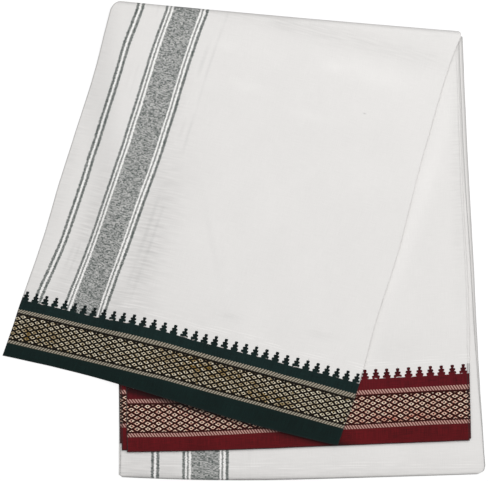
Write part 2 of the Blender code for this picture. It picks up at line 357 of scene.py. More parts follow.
def white_ground(tree, across, up, stripe_place, yarn, painted_light_patches):
    """The white field with its patches of painted light and shade, and its grey stripes."""
    work = partial(sums, tree)
    bright = work("MULTIPLY_ADD", yarn["Tone"], 0.10, 0.99)
    cross_streaks = streaks(tree, across, up, 16.0, 1.5)
    # Lighter patches are painted highlights; darker ones are painted shade, some with cross streaks
    for *patch, change in painted_light_patches:
        mask = use_group(tree, patch_group, across, up, *patch)["Mask"]
        if -0.14 < change < -0.04:
            streaky = work("MULTIPLY_ADD", cross_streaks, -change * 2.4, change * 1.2)
            bright = work("MULTIPLY_ADD", mask, streaky, bright)
        bright = work("MULTIPLY_ADD", mask, change, bright)
    patchy = work("MULTIPLY_ADD", streaks(tree, across, up, 18.0, 6.0), 5.0, -2.0, clamp=True)
    for start, end in CORD_LINES:
        mask = use_group(tree, line_group, up, start, end, 0.4)["Mask"]
        bright = work("MULTIPLY_ADD", work("MULTIPLY", mask, patchy), 0.09, bright)
    white = blend_colors(tree, 1.0, WHITE, bright, "MULTIPLY")
    lines = use_group(tree, stripes, stripe_place, up, STRIPE_SOFTNESS)
    ghost = work("MULTIPLY", lines["Ghost"], GHOST_STRENGTH)
    white = blend_colors(tree, ghost, white, GREY_YARN)
    grey = work("MULTIPLY", lines["Wide"], yarn["Heather"])
    calmer = work("MULTIPLY_ADD", yarn["Heather"], 0.45, 0.55)
    grey = work("MULTIPLY_ADD", lines["Lines"], calmer, grey, clamp=True)
    color = blend_colors(tree, grey, white, GREY_YARN)
    beads = work("SUBTRACT", yarn["Heather"], 0.35, clamp=True)
    return blend_colors(tree, work("MULTIPLY", lines["Cord"], beads), color, CORD_WHITE)

# %% Border recipe
def border_over(tree, color, across, up, yarn, border):
    """A border laid over the white ground."""
    work = partial(sums, tree)
    along = work("SUBTRACT", across, border.teeth_start)
    teeth = use_group(tree, teeth_group, along, up, border.teeth_pitch, border.teeth_widest)
    low = work("MULTIPLY_ADD", up, -0.05, -0.9, clamp=True)
    ground = blend_colors(tree, low, border.ground, border.ground_low)
    packed = work("MULTIPLY", up, 0.3, clamp=True)
    bright = work("MULTIPLY_ADD", packed, -0.5, 1.0)
    bright = work("MULTIPLY_ADD", yarn["Tone"], 1.7, bright)
    ground = blend_colors(tree, 1.0, ground, bright, "MULTIPLY")
    for start, end in (border.line_low, border.line_high):
        sides = (start + 0.35, end + 0.2)
        line = use_group(tree, twill_group, across, up, *sides, TWILL_PITCH, border.lean)
        tan = blend_colors(tree, line["Thread"], border.tan_shade, border.tan)
        ground = blend_colors(tree, line["Mask"], ground, tan)
    along = work("SUBTRACT", across, border.start_along)
    height = work("SUBTRACT", up, border.start_up)
    rings = use_group(tree, diamond_group, along, height, border.pitch, border.row)
    fine = work("MULTIPLY_ADD", streaks(tree, across, up, 1.4, 0.9), 4.5, -1.6, clamp=True)
    ring = blend_colors(tree, fine, border.ring_shade, border.ring)
    tinted = 0.0
    for patch in border.tinted:
        tinted = work("ADD", use_group(tree, patch_group, across, up, *patch)["Mask"], tinted)
    tint = work("MULTIPLY_ADD", streaks(tree, across, up, 6.0, 3.0), 3.0, -1.0, clamp=True)
    ring = blend_colors(tree, work("MULTIPLY", tint, tinted, clamp=True), ring, border.ring_tint)
    field = blend_colors(tree, rings["Ring"], border.lattice, ring)
    field = blend_colors(tree, rings["Seed"], field, border.seed)
    dark_edge = (border.line_low[1], border.line_high[0])
    for sides, filling in ((dark_edge, border.lattice), (border.diamonds, field)):
        mask = use_group(tree, line_group, up, *sides, 0.3)["Mask"]
        ground = blend_colors(tree, mask, ground, filling)
    # Painted shadow: the shadow that the green border above casts onto the red, darkened into the
    # colour
    for patch in border.shaded:
        mask = use_group(tree, patch_group, across, up, *patch)["Mask"]
        ground = blend_colors(tree, work("MULTIPLY", mask, 0.85), ground, DEEP_SHADE)
    color = blend_colors(tree, teeth["Mask"], color, ground)
    return blend_colors(tree, teeth["Base line"], color, BASE_THREAD)

# %% Patches of painted light and shade, and a cotton made of all this
# Each patch: middle along and up the cloth, half sizes, lean, and how much lighter it is. A lighter
# patch is a painted highlight and a darker one is painted shade
# Painted highlights high on the panel; painted shade along the top fold, the drape at the left, beside
# the stripes and above the teeth
SWUNG_PAINTED_LIGHT = [
    (205, 222, 34, 9, 0.0, 0.045), (179, 220, 7, 4, 0.0, 0.035), (122, 190, 12, 4, 0.0, 0.03),
    (100, 215, 8, 4, 0.0, 0.03), (170, 181, 14, 3, 0.0, 0.025), (130, 243, 120, 8, 0.0, -0.07),
    (84, 60, 17, 66, 0.0, -0.13), (75, 165, 6, 60, 0.0, -0.06), (37, 52, 9, 60, 0.05, -0.10),
    (26, 150, 6, 90, 0.0, -0.03), (9, 110, 7, 120, 0.0, -0.05), (60, 5, 90, 16, 0.0, -0.05),
    (158, 24, 9, 3, 0.0, -0.05), (225, 27, 9, 3, 0.0, -0.045), (131, 70, 3, 30, -0.5, -0.03),
    (209, 193, 1.0, 0.5, 0.0, -0.25),
]
# The first is a painted highlight beside the top packet's right edge; the others are painted shade
SECOND_PAINTED_LIGHT = [
    (224, 128, 7, 75, 0.34, 0.05), (216, 20, 34, 14, 0.0, -0.02), (252, 150, 5, 90, 0.0, -0.05)
]
# Painted shade: a dark line along the bottom fold, softer bands above it, and a darker lower left
BODY_PAINTED_SHADE = [
    (120, 0, 400, 2.3, 0.0, -0.45), (120, 0, 400, 4.0, 0.0, -0.15), (120, 0, 400, 14, 0.0, -0.06),
    (0, 0, 60, 50, 0.0, -0.07),
]
STREAK_LENGTH = 9.0
FOLD_REACH = 0.7
# The colour of the painted shade line along folded edges
FOLD_SHADE = (0.02, 0.02, 0.02, 1.0)
CLOTH_WIDTH = 256.0


def make_cotton(name, painted_light_patches, fold_shade, border=None):
    """A woven cotton, with a border if one is given. Its painted shade lines along the folded edges
    fade from left to right.
    """
    material = bpy.data.materials.new(name)
    material.use_nodes = True
    tree = material.node_tree
    shader = tree.nodes["Principled BSDF"].inputs
    across, up = cloth_places(tree, "Cloth")
    stripe_place, edge_distance = cloth_places(tree, "Stripes")
    yarn = use_group(tree, threads, across, up, STREAK_LENGTH)
    color = white_ground(tree, across, up, stripe_place, yarn, painted_light_patches)
    if border:
        color = border_over(tree, color, across, up, yarn, border)
    # Painted shade: a thin dark line along folded edges and leaf rims, its strength changing from left
    # to right
    fold = use_group(tree, fold_shade_group, edge_distance, FOLD_REACH)["Mask"]
    left, right = fold_shade
    shade = sums(tree, "MULTIPLY_ADD", across, (right - left) / CLOTH_WIDTH, left)
    color = blend_colors(tree, sums(tree, "MULTIPLY", fold, shade), color, FOLD_SHADE)
    feed(tree, shader["Base Color"], color)
    feed(tree, shader["Roughness"], sums(tree, "MULTIPLY_ADD", yarn["Weft"], 0.12, 0.82))
    for title, value in FINISH.items():
        shader[title].default_value = value
    relief = {"Strength": 0.35, "Distance": 0.12 * MM, "Height": yarn["Height"]}
    feed(tree, shader["Normal"], add_node(tree, "ShaderNodeBump", relief).outputs["Normal"])
    return material

# %% Mix the cottons
# Places are in millimetres from the base of the teeth. A tinted patch holds the darker yellow or
# pink weft: its middle along and up the cloth, then its half sizes. A painted shadow patch adds a lean
# and darkens the cloth close under the border that lies over it, painting in the shadow it casts.
GREEN = SimpleNamespace(
    ground=printed(15, 34, 33),
    ground_low=printed(8, 27, 25),
    tan=printed(170, 162, 146),
    tan_shade=printed(84, 77, 65),
    ring=printed(252, 243, 219),
    ring_shade=printed(150, 130, 90),
    ring_tint=printed(150, 118, 48),
    lattice=printed(16, 9, 3),
    seed=printed(14, 8, 2),
    line_low=(-34.3, -31.8),
    line_high=(-10.7, -7.7),
    diamonds=(-30.5, -12.1),
    pitch=7.44,
    row=3.80,
    start_along=2.51,
    start_up=0.27,
    teeth_pitch=7.576,
    teeth_start=2.02,
    teeth_widest=2.75,
    tinted=[(150, -18, 42, 9), (26, -25, 28, 8), (206, -27, 22, 5)],
    lean=-0.7,
    shaded=[],
)
RED = SimpleNamespace(
    ground=printed(88, 14, 22),
    ground_low=printed(88, 12, 18),
    tan=printed(200, 158, 148),
    tan_shade=printed(98, 56, 50),
    ring=printed(255, 236, 212),
    ring_shade=printed(222, 158, 138),
    ring_tint=printed(206, 118, 100),
    lattice=printed(44, 4, 1),
    seed=printed(38, 2, 0),
    line_low=(-36.1, -33.1),
    line_high=(-11.1, -8.0),
    diamonds=(-31.9, -12.4),
    pitch=8.04,
    row=4.12,
    start_along=1.52,
    start_up=2.88,
    teeth_pitch=8.02,
    teeth_start=4.46,
    teeth_widest=2.95,
    tinted=[(208, -30, 34, 4)],
    lean=0.7,
    shaded=[(77, -22.4, 12, 100, -3.33)],
)
top_cotton = make_cotton("white_cotton_top", SWUNG_PAINTED_LIGHT, (0.42, 0.06))
second_cotton = make_cotton("white_cotton_second", SECOND_PAINTED_LIGHT, (0.26, 0.10))
body_cotton = make_cotton("white_cotton_body", BODY_PAINTED_SHADE, (0.15, 0.10))
# The body's hidden leaves get a stronger painted shade line along their rims towards the right
rims_painted_shade_cotton = make_cotton("white_cotton_rims_painted_shade", BODY_PAINTED_SHADE, (0.15, 0.50))
green_cotton = make_cotton("green_border_cotton", SWUNG_PAINTED_LIGHT, (0.5, 0.5), GREEN)
red_cotton = make_cotton("red_border_cotton", SECOND_PAINTED_LIGHT, (0.95, 0.75), RED)
print("materials:", [material.name for material in bpy.data.materials])

# %% [markdown]
# ## The folded shape
# The length is folded into packets of eight layers, and the packets are folded over each other.
# A packet is a ribbon of cloth that follows a path: flat, round a fold, then flat again. One table
# of sections gives each packet's plan, so a point is found from how far along it is, how far
# across, and how high above the packet's inner face.

# %% Sections of the packets, in millimetres
# Each row: left x, left y, right x, right y, how far its middle bows, and how far it sways
SWUNG_SECTIONS = [
    (-177.7, -85.0, 68.8, -150.9, -0.7, -1.6),
    (-170.3, -64.5, 76.6, -128.8, -1.3, -1.1),
    (-163.6, -43.9, 84.6, -106.4, -1.9, -0.6),
    (-148.9, -1.6, 97.5, -58.3, -0.9, -0.2),
    (-136.3, 40.7, 113.7, -7.0, 0.0, 0.0),
    (-122.9, 82.9, 126.8, 44.2, 0.0, 0.0),
    (-109.6, 125.2, 141.0, 95.5, 0.0, 0.0),
    (-102.4, 153.0, 151.3, 129.5, 0.0, 0.0),
    (-97.2, 172.2, 159.2, 149.4, 0.5, 0.0),
]
SECOND_SECTIONS = [
    (-91.0, -156.0, 167.0, -147.3, 0.8, 0.3),
    (-91.8, -109.7, 165.9, -98.8, 0.8, 0.3),
    (-93.0, -40.0, 164.8, -38.0, 0.0, 0.0),
    (-94.6, 60.0, 160.4, 50.0, 0.0, 0.0),
    (-96.4, 169.9, 157.0, 149.6, 0.0, 0.0),
]
BODY_SECTIONS = [
    (-92.0, -172.3, 177.7, -170.1, 2.8, 0.6),
    (-91.8, -148.0, 176.2, -148.0, 0.0, 0.0),
    (-92.4, -73.4, 171.6, -73.4, 0.0, 0.0),
    (-93.6, 0.0, 168.0, 0.0, 0.0, 0.0),
    (-95.0, 88.0, 163.4, 84.0, 0.0, 0.0),
    (-97.0, 169.4, 160.8, 149.8, 0.0, 0.0),
]
SWUNG_REST = 6.2
DRAPE_START = 8.0
DRAPE_RUN = 32.0


def smooth_sections(table, stations):
    """The table's rows at stations between them, on a smooth curve through the rows."""
    table = np.array(table, float)
    last = len(table) - 1
    row = np.clip(np.floor(stations).astype(int), 0, last - 1)
    share = (stations - row)[:, None]
    before, start, end, after = [table[np.clip(row + step, 0, last)] for step in (-1, 0, 1, 2)]
    square, cube = share**2, share**3
    return (
        start * (2 * cube - 3 * square + 1)
        + (end - before) / 2 * (cube - 2 * square + share)
        + end * (3 * square - 2 * cube)
        + (after - start) / 2 * (cube - square)
    )

# %% Creases: soft ridges and troughs, listed one by one
# Each crease: where it starts and ends, its half width, its height, and how much it wanders
def crease_height(creases, x, y):
    """How far creases lift the cloth at plan points, in millimetres."""
    lift = np.zeros(np.broadcast(x, y).shape)
    for number, (x0, y0, x1, y1, half_width, height, wander) in enumerate(creases):
        length = math.hypot(x1 - x0, y1 - y0)
        run_x, run_y = (x1 - x0) / length, (y1 - y0) / length
        along = (x - x0) * run_x + (y - y0) * run_y
        away = (x - x0) * run_y - (y - y0) * run_x
        away = away + wander * np.sin(along / (11.0 + 3 * (number % 4)) + 1.7 * number)
        middle = 2 * along / length - 1
        lift += height * np.exp(-((away / half_width) ** 2)) * np.exp(-1.2 * middle**4)
    return lift


SWUNG_CREASES = [(-22, 18, -14, -33, 2.2, -0.22, 0.6), (-60, 150, 60, 120, 9.0, 0.18, 2.0)]
SECOND_CREASES = [(150, 100, 112, -45, 7.0, 0.55, 1.0)]
BODY_CREASES = [(-80, -160, 160, -158, 6.0, 0.15, 1.0)]


def rising(value, start, end):
    """How far a value is on its way from start to end, from 0 to 1."""
    return np.clip((value - start) / (end - start), 0, 1)


def drop_beside_stack(x, y):
    """How far the swung packet has come down where it leaves the stack, as a negative height."""
    (low_x, low_y), (high_x, high_y) = BODY_SECTIONS[0][:2], BODY_SECTIONS[-1][:2]
    start = low_x + (high_x - low_x) * (y - low_y) / (high_y - low_y) + DRAPE_START
    share = rising(x, start, start - DRAPE_RUN)
    return SWUNG_REST * ((1 + np.cos(np.pi * share)) / 2 - 1)


def lie_level(x, y):
    """What lies on an even surface."""
    return 0.0 * x

# %% Paths: how each packet runs
# Stepped says how far the layers' right edges fan out, at places along the path
Path = namedtuple(
    "Path",
    "along columns middle radius thickness bulge lower creases stepped",
    defaults=(([0, 1], [1, 1]),),
)
STEPS = 240
EDGE_DROP = 0.16
EDGE_REACH = 2.6


def packet_points(path, along, across, height):
    """Points of a packet in millimetres: along its path, across it, and up from its inner face."""
    found = [np.interp(along, path.along, column) for column in path.columns]
    left_x, left_y, right_x, right_y, bow, sway, turn, slip, left_cut, right_cut = found
    run_x, run_y = right_x - left_x, right_y - left_y
    width = np.hypot(run_x, run_y)
    share = (left_cut + across * (width - left_cut - right_cut)) / width
    radius = path.radius + height
    out = bow * 4 * across * (1 - across) + sway * np.sin(2 * np.pi * across) + slip
    out = out + path.bulge * radius * np.sin(turn)
    x = left_x + run_x * share + run_y / width * out
    y = left_y + run_y * share - run_x / width * out
    facing_up = (1 + np.cos(turn)) / 2
    edge = np.minimum(across, 1 - across) * width
    height = height * (1 - EDGE_DROP * np.exp(-((edge / EDGE_REACH) ** 2)))
    lift = crease_height(path.creases, x, y) * height / path.thickness
    z = path.middle + radius * np.cos(turn) + facing_up * (path.lower(x, y) + lift)
    return np.stack(np.broadcast_arrays(x, y, z), axis=-1)


def lay_path(table, stretches, corners, **facts):
    """A packet's path from its stretches: first and last station, turn and slip of each.

    The corners at its fold are rounded in plan, each by its own radius."""
    columns = []
    for stations, turns, slips in stretches:
        station, turn, slip = [np.linspace(*ends, STEPS) for ends in (stations, turns, slips)]
        uncut = np.zeros((STEPS, 2))
        columns.append(np.column_stack([smooth_sections(table, station), turn, slip, uncut]))
    columns = np.vstack(columns).T
    count = np.arange(columns.shape[1], dtype=float)
    path = Path(along=count, columns=columns, **facts)
    spots = packet_points(path, count, np.full(count.shape, 0.5), path.thickness)
    steps = np.linalg.norm(np.diff(spots, axis=0), axis=1) + 1e-7
    path = path._replace(along=np.concatenate([[0.0], np.cumsum(steps)]))
    turn = path.columns[6]
    bend = path.along[np.sin(turn) > 1e-6]
    away = np.maximum(np.maximum(bend[0] - path.along, path.along - bend[-1]), 0)
    away = away + (path.radius + path.thickness) * (1 - np.sin(turn))
    for column, corner in zip((8, 9), corners):
        near = np.clip(1 - away / corner, 0, 1)
        path.columns[column] = corner * (1 - np.sqrt(1 - near**2))
    return path


swung = lay_path(
    SWUNG_SECTIONS,
    [((0, 8), (0, 0), (0, 0)), ((8, 8), (0, math.pi), (0, 0)), ((8, 8), (math.pi,) * 2, (0, 2))],
    corners=(7.5, 2.5),
    middle=4.0,
    radius=2.2,
    thickness=1.85,
    bulge=-1,
    lower=drop_beside_stack,
    creases=SWUNG_CREASES,
)
second = lay_path(
    SECOND_SECTIONS,
    [((0, 4), (0, 0), (0, 0)), ((4, 4), (0, math.pi), (0, 0))],
    corners=(2.5, 2.0),
    middle=4.0,
    radius=0.1,
    thickness=2.0,
    bulge=-1,
    lower=lie_level,
    creases=SECOND_CREASES,
)
body = lay_path(
    BODY_SECTIONS,
    [((5, 0), (math.pi,) * 2, (0, 0)), ((0, 0), (math.pi, 0), (0, 0)), ((0, 5), (0, 0), (0, 0))],
    corners=(2.2, 7.0),
    middle=2.02,
    radius=0.03,
    thickness=1.99,
    bulge=1,
    lower=lie_level,
    creases=BODY_CREASES,
    stepped=([340, 560], [0.12, 1]),
)
for name, path in (("swung", swung), ("second", second), ("body", body)):
    print(name, "packet runs", round(path.along[-1], 1), "mm")

# %% Where the borders end on their packets
def along_at_station(path, table, station):
    """How far along a packet one of its table's stations is."""
    spot = smooth_sections(table, np.array([float(station)]))[0]
    return float(path.along[np.argmin(np.abs(path.columns[1][:STEPS] - spot[1]))])


SWUNG_BASE = along_at_station(swung, SWUNG_SECTIONS, 2)
SECOND_BASE = along_at_station(second, SECOND_SECTIONS, 1)
TEETH_ROOM = 8.5
print("teeth start at", round(SWUNG_BASE, 1), "and", round(SECOND_BASE, 1), "mm from the edge")

# %% [markdown]
# ## The Cloth map
# The pattern belongs to the cloth, so it is laid on by distance along the cloth, not by position.
# Every column's length is measured along the packet, and zero is put at the base of the teeth. No
# cloth is woven or folded quite straight, so short tables say how far the stripes drift sideways and
# how far the borders waver. The stripes wander on their own, so they have a map named Stripes.

# %% Lengths along the cloth
Chart = namedtuple("Chart", "path lengths scale shift drift waver")
CHART_SHARES = np.linspace(0, 1, 9)
LEFT_PAIR, MIDDLE_LINES, RIGHT_LINES = 12, 32, 58
TEETH_LEVEL, BAND_LEVEL = -4, -11
STILL = [(0, 0, 0, 0, 0), (1, 0, 0, 0, 0)]


def chart_cloth(path, zero, scale=1.0, shift=0.0, drift=STILL, waver=STILL):
    """Measures a packet's columns from where zero is along it."""
    spots = packet_points(path, path.along[:, None], CHART_SHARES[None, :], path.thickness)
    steps = np.linalg.norm(np.diff(spots, axis=0), axis=2)
    lengths = np.vstack([np.zeros(len(CHART_SHARES)), np.cumsum(steps, axis=0)])
    zeros = [np.interp(zero, path.along, column) for column in lengths.T]
    tables = [np.array(table, float).T for table in (drift, waver)]
    return Chart(path, lengths - np.array(zeros), scale, shift, *tables)


def cloth_map(chart, along, across, lift=0.0):
    """Places on the cloth in metres: along it, up it, and along it for the stripes."""
    along, across = np.broadcast_arrays(along, across)
    row = np.interp(along, chart.path.along, np.arange(len(chart.path.along)))
    low = np.clip(row.astype(int), 0, len(chart.path.along) - 2)
    step = row - low
    column = np.clip(across, 0, 1) * (len(CHART_SHARES) - 1)
    left = np.clip(column.astype(int), 0, len(CHART_SHARES) - 2)
    side = column - left
    table = chart.lengths
    up = (table[low, left] * (1 - step) + table[low + 1, left] * step) * (1 - side)
    up = up + (table[low, left + 1] * (1 - step) + table[low + 1, left + 1] * step) * side
    columns = chart.path.columns
    widths = np.hypot(columns[2] - columns[0], columns[3] - columns[1])
    width, left_cut, right_cut = [
        np.interp(along, chart.path.along, column) for column in (widths, columns[8], columns[9])
    ]
    sideways = (left_cut + across * (width - left_cut - right_cut)) * chart.scale + chart.shift
    near_left, middle, near_right = [np.interp(up, chart.drift[0], part) for part in chart.drift[1:4]]
    stripe_place = sideways + near_left
    stripe_place += (middle - near_left) * rising(sideways, LEFT_PAIR, MIDDLE_LINES)
    stripe_place += (near_right - middle) * rising(sideways, MIDDLE_LINES, RIGHT_LINES)
    teeth_off, teeth_up, band_off, band_up = [
        np.interp(sideways, chart.waver[0], part) for part in chart.waver[1:]
    ]
    low_share = rising(up, TEETH_LEVEL, BAND_LEVEL)
    pattern_up = up - teeth_up - (band_up - teeth_up) * low_share - lift * (1 - across)
    pattern_along = sideways - teeth_off - (band_off - teeth_off) * low_share
    return np.stack([pattern_along, pattern_up, stripe_place], axis=-1) * MM


# Height up the cloth, then the drift near the left pair, the middle lines and the right lines
STRIPE_DRIFT = [
    (0, -0.6, -1.6, -2.6), (8, -0.6, -2.2, -2.4), (16, -1.3, -2.4, -2.2), (24, -2.3, -3.1, -2.3),
    (32, -3.1, -3.5, -2.2), (48, -4.8, -4.5, -2.9), (64, -5.4, -5.4, -3.8), (80, -6.4, -6.1, -4.7),
    (96, -6.6, -6.7, -5.5), (112, -6.4, -6.5, -6.4), (128, -6.6, -6.9, -6.9), (144, -6.8, -6.7, -6.9),
    (160, -7.0, -6.8, -7.1), (176, -7.1, -6.9, -6.9), (192, -7.1, -7.3, -7.3),
    (200, -7.2, -7.9, -7.9), (208, -7.9, -8.7, -8.7), (216, -8.8, -9.7, -9.3),
    (224, -9.7, -10.4, -10.0), (235, -10.3, -11.3, -11.1), (248, -10.6, -12.5, -12.9),
]
# Place along the border, then how far its teeth have shifted along and up, and its band likewise
GREEN_WAVER = [
    (6, 0.9, -0.4, -0.7, 0.7), (18, 0.3, -0.4, -0.7, 0.4), (30, 0.0, -0.5, -0.8, 0.1),
    (52, -1.1, -1.3, -1.1, -0.3), (64, -1.3, -1.2, -1.5, -0.5), (76, -1.7, -0.4, -1.6, -0.5),
    (88, -2.3, 0.4, -1.6, -0.3), (112, -1.6, 0.8, -0.7, 0.0), (124, -1.2, 0.6, -1.2, 0.4),
    (136, -0.5, 0.1, -1.0, 0.3), (160, -0.6, 0.3, 0.2, 0.1), (184, -0.4, 0.8, -0.3, 0.2),
    (196, 0.1, 1.0, -0.2, 0.3), (208, 0.6, 0.4, -0.6, 0.2), (232, 0.9, 0.8, 0.1, 0.1),
    (250, 0.8, 0.8, 0.2, -0.2),
]
RED_WAVER = [
    (14, 3.3, 0.0, 3.3, 0.4), (44, 2.9, 0.0, 2.9, -0.2), (80, 2.6, 0.0, 2.6, 0.1),
    (104, 1.5, 0.0, 1.5, 0.4), (150, 0.4, 0.0, 0.4, 0.0), (176, 0.0, 0.0, 0.0, -0.3),
    (208, 0.0, 0.2, 0.0, 0.0), (232, 0.0, 0.4, 0.0, 0.3), (252, 0.1, 0.9, 0.1, 0.1),
]
swung_chart = chart_cloth(swung, SWUNG_BASE, shift=7.7, drift=STRIPE_DRIFT, waver=GREEN_WAVER)
second_chart = chart_cloth(second, SECOND_BASE, waver=RED_WAVER)
body_chart = chart_cloth(body, body.along[-1] / 2, scale=1 / 1.09, shift=15 - 23.2 / 1.09)
print("swung column lengths", np.round(swung_chart.lengths[-1] - swung_chart.lengths[0], 1))

# %% [markdown]
# ## Leaves
# A folded edge is a thin rounded rim, and a stack of them shows as fine lines down the side of the
# cloth. Each leaf here is a doubled layer. The top leaf is a thin shell of its own. The leaves
# under it share one solid whose sides are cut into rims, because only their edges can be seen.

# %% Rows and columns of a leaf's mesh
Leaf = namedtuple("Leaf", "left right front back seed lift", defaults=(0.0,))
Patch = namedtuple("Patch", "chart rows columns first last free_front free_back")
EDGE_WAVE = 0.16
PACKET_WIDTH = 255.0
FINE_EDGE = 0.7
FINE_REACH = 1.2
FINE_TURN = math.radians(10)


def uneven(place, seed):
    """How far an edge wavers at places along it: three waves, together one edge wave high."""
    waves = np.sin(place / 21 + seed) + 0.6 * np.sin(place / 8.7 + 2.3 * seed)
    return EDGE_WAVE * (waves + 0.35 * np.sin(place / 3.9 + 4.1 * seed)) / 1.95


def close_places(first, last, spacing, ends, turns=([0], [0])):
    """Shares from 0 to 1 along a run, closer together at free ends and where the cloth turns."""
    fine = np.linspace(first, last, 4000)
    density = 1 / spacing + np.abs(np.gradient(np.interp(fine, *turns), fine)) / FINE_TURN
    for free, gap in zip(ends, (fine - first, last - fine)):
        density += free * np.exp(-gap / FINE_REACH) / FINE_EDGE
    total = np.concatenate([[0], np.cumsum((density[1:] + density[:-1]) / 2 * np.diff(fine))])
    count = int(math.ceil(total[-1])) + 1
    places = np.interp(np.linspace(0, total[-1], count), total, fine)
    return (places - first) / (last - first)


def cut_patch(chart, first, last, spacing, ends):
    """A stretch of a packet, with the rows and columns of its mesh. Ends says which are free."""
    turns = (chart.path.along, chart.path.columns[6])
    rows = close_places(first, last, spacing, ends, turns)
    columns = close_places(0, PACKET_WIDTH, spacing, (1, 1))
    return Patch(chart, rows, columns, first, last, *ends)

# %% Points of one leaf, and where they are on the cloth
def leaf_spots(patch, leaf, pull, height):
    """A leaf's points at one height, stepped back from its outline by pull."""
    path = patch.chart.path
    rows, columns = patch.rows[:, None], patch.columns[None, :]
    width, span = PACKET_WIDTH, patch.last - patch.first
    front = (leaf.front + uneven(columns * width, leaf.seed + 1) + pull) * patch.free_front
    back = (leaf.back + uneven(columns * width, leaf.seed + 2) + pull) * patch.free_back
    along = patch.first + front + rows * (span - front - back)
    left = (leaf.left + uneven(along, leaf.seed + 3) + pull) / width
    stepped = np.interp(along, *path.stepped)
    right = (leaf.right * stepped + uneven(along, leaf.seed + 4) + pull) / width
    across = left + columns * (1 - left - right)
    edge = np.minimum(columns, 1 - columns) * width + 0 * rows
    edge = np.minimum(edge, np.where(patch.free_front, rows * span, edge))
    edge = np.minimum(edge, np.where(patch.free_back, (1 - rows) * span, edge))
    points = packet_points(path, along, across, height)
    places = cloth_map(patch.chart, along, across, leaf.lift)
    return points, np.concatenate([places, (edge + pull)[..., None] * MM], axis=-1)


def rim_of(grid):
    """The points round the outside of a grid: front, right, back, then left."""
    return np.concatenate([grid[0, :-1], grid[:-1, -1], grid[-1, :0:-1], grid[:0:-1, 0]])

# %% Sew a closed mesh, with its bake map
TOP_PLACE = (0.004, 0.222, 0.996, 0.996)
UNDER_PLACE = (0.004, 0.124, 0.996, 0.214)
RIM_PLACE = (0.004, 0.004, 0.996, 0.116)
SHARP_ANGLE = math.radians(60)


def rim_bake_places(rows, columns, bands):
    """Where the rim goes in the bake map: four sides in a row, one band above another."""
    low_x, low_y, high_x, high_y = RIM_PLACE
    runs = [
        low_x + (high_x - low_x) * (side + 0.01 + 0.98 * np.linspace(0, 1, count)) / 4
        for side, count in enumerate((columns, rows, columns, rows))
    ]
    starts = np.concatenate([run[:-1] for run in runs])
    ends = np.concatenate([run[1:] for run in runs])
    return starts, ends, low_y + (high_y - low_y) * np.arange(bands + 1) / bands


def sew_mesh(name, grids, loops, material):
    """Makes a closed mesh from a top grid, an under grid and the rim loops between them."""
    (top, top_map), (under, under_map) = grids
    rows, columns = top.shape[:2]
    count = rows * columns
    corner = np.arange(count).reshape(rows, columns)
    ring = rim_of(corner)
    points = [top.reshape(-1, 3), under.reshape(-1, 3)] + [spots for spots, _ in loops]
    ring_size = len(ring)
    indices = [ring]
    indices += [2 * count + number * ring_size + np.arange(ring_size) for number in range(len(loops))]
    indices += [ring + count]
    maps = [rim_of(top_map)] + [places for _, places in loops] + [rim_of(under_map)]
    quads = np.stack([corner[:-1, :-1], corner[:-1, 1:], corner[1:, 1:], corner[1:, :-1]], -1)
    quads = quads.reshape(-1, 4)
    shares_x = np.broadcast_to(np.linspace(0, 1, columns), (rows, columns)).reshape(-1)
    shares_y = np.broadcast_to(np.linspace(0, 1, rows)[:, None], (rows, columns)).reshape(-1)
    faces, cloth, bake = [], [], []
    for offset, places, area in ((0, top_map, TOP_PLACE), (count, under_map, UNDER_PLACE)):
        order = quads if offset == 0 else quads[:, ::-1]
        faces.append(order + offset)
        cloth.append(places.reshape(-1, 4)[order])
        spot_x = area[0] + (area[2] - area[0]) * shares_x
        spot_y = area[1] + (area[3] - area[1]) * shares_y
        bake.append(np.stack([spot_x, spot_y], -1)[order])
    starts, ends, levels = rim_bake_places(rows, columns, len(indices) - 1)
    after = np.roll(np.arange(ring_size), -1)
    for band in range(len(indices) - 1):
        high, low = indices[band : band + 2]
        map_high, map_low = maps[band : band + 2]
        level_high, level_low = [np.full(ring_size, level) for level in levels[band : band + 2]]
        faces.append(np.stack([high, low, low[after], high[after]], -1))
        cloth.append(np.stack([map_high, map_low, map_low[after], map_high[after]], 1))
        corners = [(starts, level_high), (starts, level_low), (ends, level_low), (ends, level_high)]
        bake.append(np.stack([np.stack(pair, -1) for pair in corners], 1))
    mesh = bpy.data.meshes.new(name)
    mesh.from_pydata((np.concatenate(points) * MM).tolist(), [], np.concatenate(faces).tolist())
    cloth = np.concatenate(cloth)
    maps = {"Cloth": cloth[..., :2], "Stripes": cloth[..., 2:], "OFBake": np.concatenate(bake)}
    for title, places in maps.items():
        mesh.uv_layers.new(name=title).data.foreach_set("uv", places.reshape(-1))
    mesh.uv_layers.active = mesh.uv_layers["Cloth"]
    mesh.uv_layers["Cloth"].active_render = True
    mesh.shade_smooth()
    mesh.set_sharp_from_angle(angle=SHARP_ANGLE)
    mesh.materials.append(material)
    piece = bpy.data.objects.new(name, mesh)
    bpy.context.scene.collection.objects.link(piece)
    return piece

# %% Stack the leaves
RIM_ANGLES = [math.radians(angle) for angle in (0, 45, 90, 135, 180)]
GROOVE_DEPTH = 2.4


